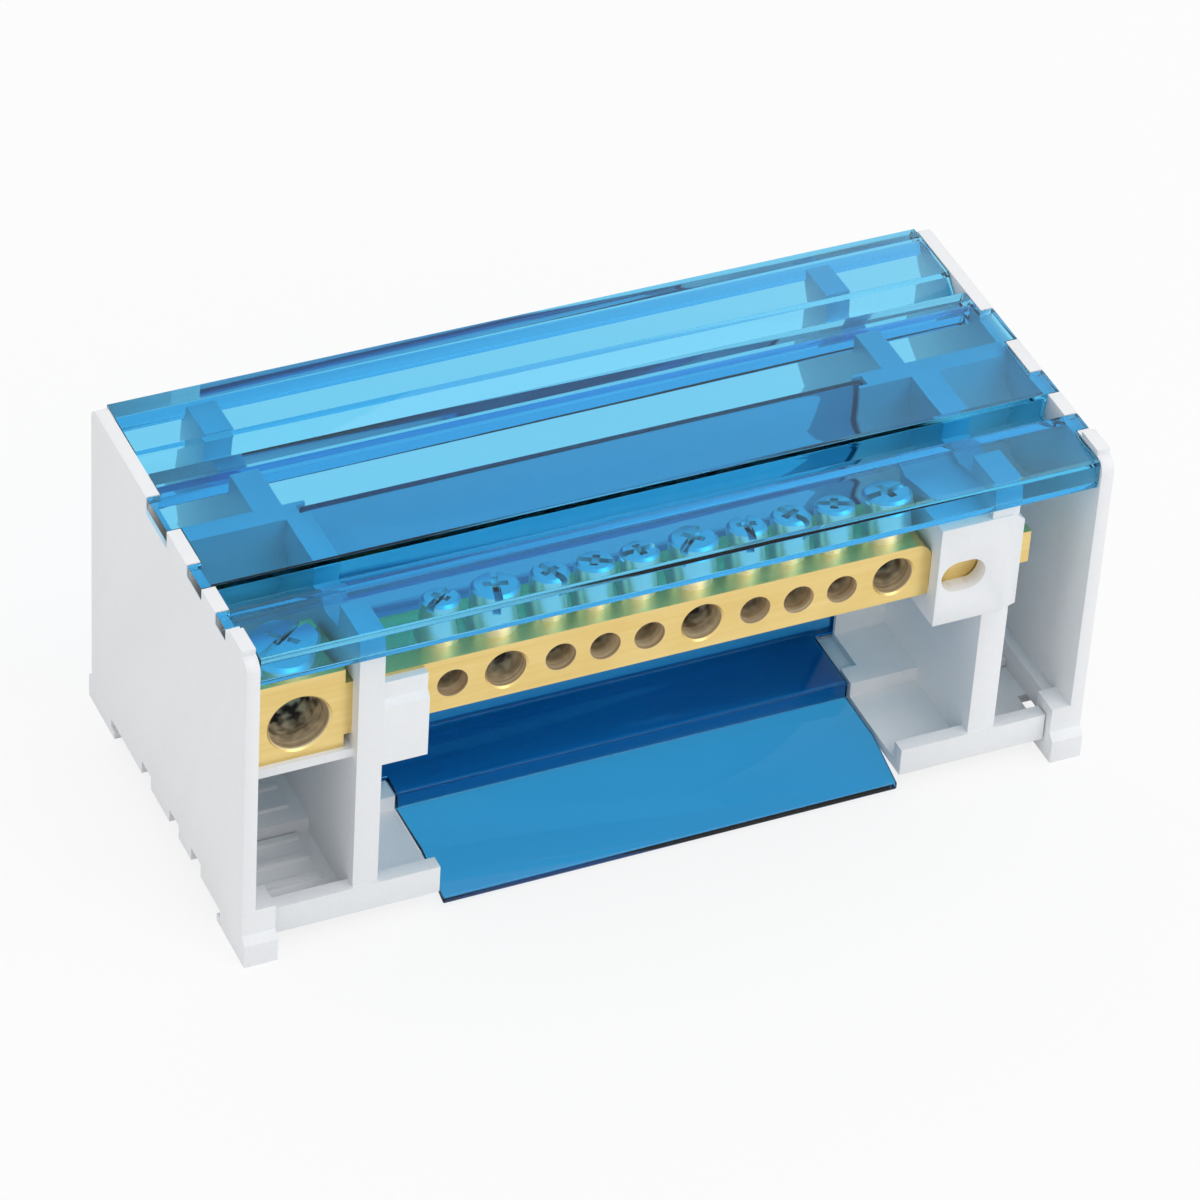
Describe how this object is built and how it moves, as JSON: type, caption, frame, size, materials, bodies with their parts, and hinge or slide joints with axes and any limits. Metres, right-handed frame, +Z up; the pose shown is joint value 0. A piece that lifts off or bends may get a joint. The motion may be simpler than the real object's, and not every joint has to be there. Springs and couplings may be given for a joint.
{
  "type": "power distribution block",
  "caption": "Rail-mounted distribution block: grey base and end plates, clear blue cover and barrier, one brass bar with wire bores and clamping screws.",
  "frame": {"origin": "middle of the block's length and depth, on the plane of its four feet", "axes": "+X along the block from its head end, +Y from the wire side to the back, +Z up from the rail"},
  "size_m": [0.105, 0.0504, 0.0439],
  "materials": {
    "grey_moulding": "light grey moulded plastic, satin",
    "cover_plastic": "clear blue plastic, glossy",
    "barrier_plastic": "clear blue plastic, glossy",
    "bar_brass": "machined brass, satin",
    "screw_steel": "zinc-plated steel"
  },
  "bodies": {
    "root": {"barrier": "barrier_plastic", "base": "grey_moulding", "busbar": "bar_brass", "cover": "cover_plastic", "end_plate_left": "grey_moulding", "end_plate_right": "grey_moulding", "screw_main": "screw_steel", "screw_medium_02": "screw_steel", "screw_medium_06": "screw_steel", "screw_medium_10": "screw_steel", "screw_small_01": "screw_steel", "screw_small_03": "screw_steel", "screw_small_04": "screw_steel", "screw_small_05": "screw_steel", "screw_small_07": "screw_steel", "screw_small_08": "screw_steel", "screw_small_09": "screw_steel"}
  },
  "joints": []
}
